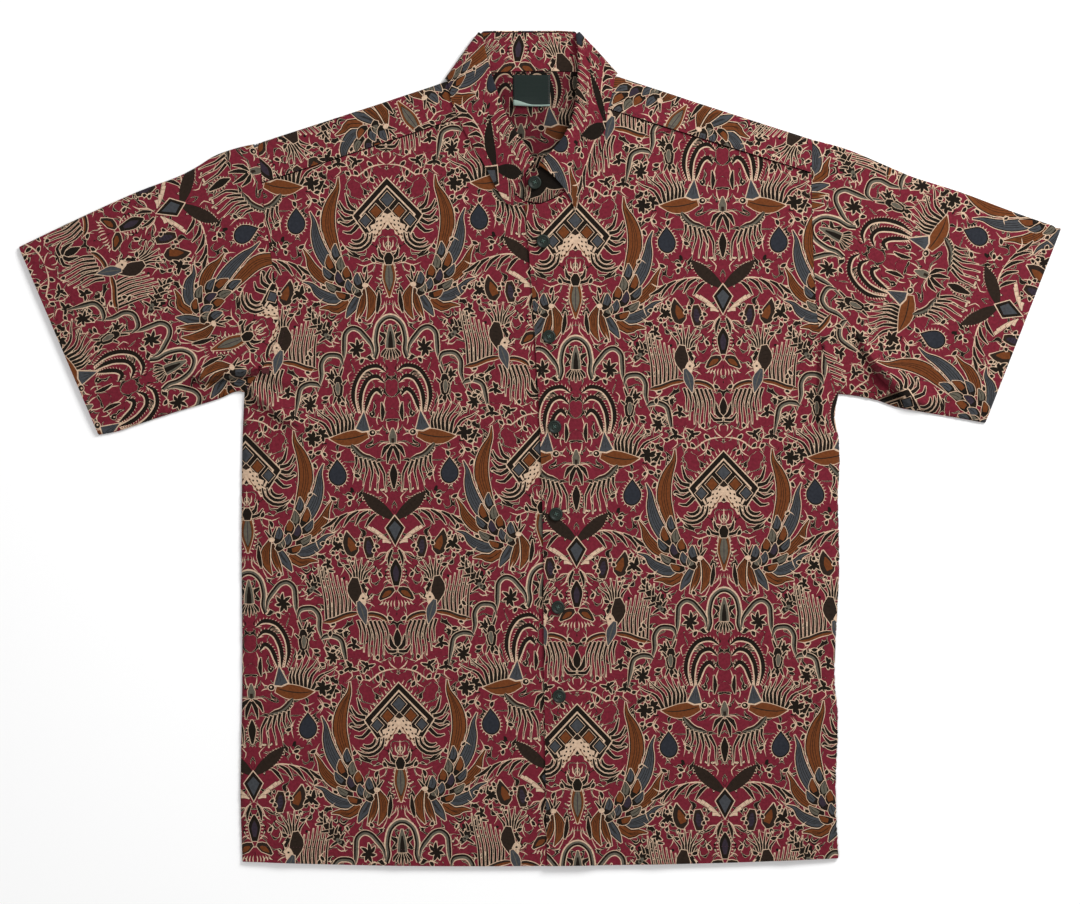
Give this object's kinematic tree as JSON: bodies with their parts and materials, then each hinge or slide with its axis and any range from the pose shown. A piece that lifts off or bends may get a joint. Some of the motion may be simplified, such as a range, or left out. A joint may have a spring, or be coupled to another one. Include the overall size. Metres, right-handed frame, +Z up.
{
  "type": "short-sleeved batik shirt",
  "caption": "Short-sleeved button-up batik shirt, laid flat and buttoned, with a stand collar and fall, a shoulder yoke, set-in sleeves and a straight hem.",
  "frame": {"origin": "on the surface that the shirt lies on, in the middle of its width and length", "axes": "+Z up from the surface, +Y from the hem to the collar, +X towards the wearer's left sleeve"},
  "size_m": [0.955, 0.7656, 0.0147],
  "materials": {
    "batik_cloth": "plain-woven cotton, dyed maroon with a cream, brown, blue-grey and dark green batik figure",
    "label_tape": "woven satin tape",
    "button_resin": "moulded resin, satin"
  },
  "bodies": {
    "root": {"back": "batik_cloth", "yoke": "batik_cloth", "right_front": "batik_cloth", "left_front": "batik_cloth", "right_sleeve": "batik_cloth", "left_sleeve": "batik_cloth", "collar_band": "batik_cloth", "collar_leaf": "batik_cloth", "neck_label": "label_tape", "button_1": "button_resin", "button_2": "button_resin", "button_3": "button_resin", "button_4": "button_resin", "button_5": "button_resin", "button_6": "button_resin", "button_7": "button_resin"}
  },
  "joints": []
}
